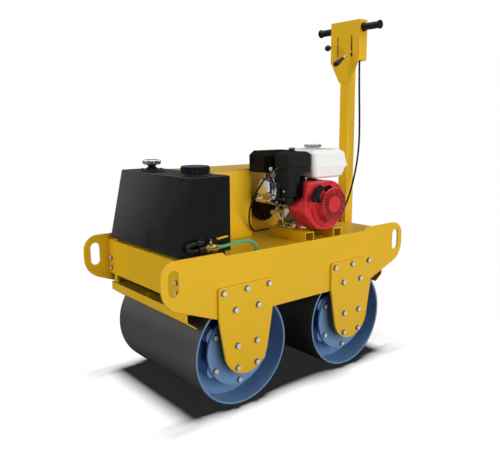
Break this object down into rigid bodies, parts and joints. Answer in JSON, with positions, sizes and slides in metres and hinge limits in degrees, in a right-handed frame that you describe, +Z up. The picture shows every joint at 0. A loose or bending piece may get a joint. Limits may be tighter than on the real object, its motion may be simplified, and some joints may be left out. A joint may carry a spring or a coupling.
{
  "type": "walk-behind double drum roller",
  "caption": "Walk-behind double drum roller with a water tank, petrol engine and drive housing on a plate chassis, and an upright folding handle with its control console.",
  "frame": {"origin": "on the floor, midway between the two drums and between the side plates", "axes": "+X towards the water tank end, +Y towards the side with the recoil starter, +Z up"},
  "size_m": [1.272, 0.65, 1.505],
  "materials": {
    "yellow_paint": "gloss powder coat",
    "tank_paint": "satin black sheet metal",
    "cap_plastic": "moulded black",
    "cap_chrome": "polished",
    "hose_rubber": "matt black rubber",
    "brass_valve": "cast brass",
    "hose_green": "green garden-type hose",
    "dark_cover": "dark brown-black paint",
    "engine_alloy": "die-cast alloy",
    "engine_red": "gloss red",
    "tank_white": "gloss white",
    "engine_black": "satin black",
    "zinc_steel": "zinc plated",
    "grip_rubber": "black grip rubber",
    "drum_steel": "worn dark steel outside, blue paint inside",
    "hub_blue": "blue paint",
    "galvanised": "galvanised pipe"
  },
  "bodies": {
    "chassis": {"side_plate_left": "yellow_paint", "side_plate_right": "yellow_paint", "end_plate_front": "yellow_paint", "end_plate_rear": "yellow_paint", "deck": "yellow_paint", "hanger_front_left": "yellow_paint", "hanger_front_right": "yellow_paint", "hanger_rear_left": "yellow_paint", "hanger_rear_right": "yellow_paint", "scraper_front": "yellow_paint", "scraper_rear": "yellow_paint", "spray_pipes": "galvanised", "water_tank": "tank_paint", "filler_cap": "cap_plastic", "breather_cap": "cap_chrome", "tank_outlet": "hose_rubber", "ball_valve": "brass_valve", "valve_lever": "yellow_paint", "water_hose": "hose_green", "drive_housing": "yellow_paint", "pump_cover": "dark_cover", "engine_rails": "yellow_paint", "crankcase": "engine_alloy", "pto_guard": "yellow_paint", "cylinder_head": "engine_alloy", "carburettor": "engine_alloy", "fan_shroud": "engine_red", "recoil_cover": "engine_red", "recoil_grip": "engine_black", "fuel_tank": "tank_white", "fuel_cap": "cap_chrome", "air_cleaner": "engine_black", "muffler": "engine_black", "throttle_cable": "hose_rubber", "hinge_pin": "zinc_steel"},
    "front_drum": {"drum_front": "drum_steel", "drum_webs_front": "hub_blue", "drum_axle_front": "hub_blue", "drum_hub_front": "hub_blue", "buffers_front": "hub_blue"},
    "rear_drum": {"drum_rear": "drum_steel", "drum_webs_rear": "hub_blue", "drum_axle_rear": "hub_blue", "drum_hub_rear": "hub_blue", "buffers_rear": "hub_blue"},
    "handle": {"handle_column": "yellow_paint", "console": "yellow_paint", "handlebar": "grip_rubber", "shift_lever": "engine_black", "throttle_lever": "engine_black", "control_cable": "hose_rubber"}
  },
  "joints": [
    {"name": "front_drum_axle", "type": "hinge", "parent": "chassis", "child": "front_drum", "pos_m": [0.2865, 0, 0.213], "axis": [0, 1, 0], "continuous": true},
    {"name": "rear_drum_axle", "type": "hinge", "parent": "chassis", "child": "rear_drum", "pos_m": [-0.2865, 0, 0.213], "axis": [0, 1, 0], "continuous": true},
    {"name": "handle_hinge", "type": "hinge", "parent": "chassis", "child": "handle", "pos_m": [-0.59, 0, 0.505], "axis": [0, -1, 0], "range_deg": [0, 60]}
  ]
}
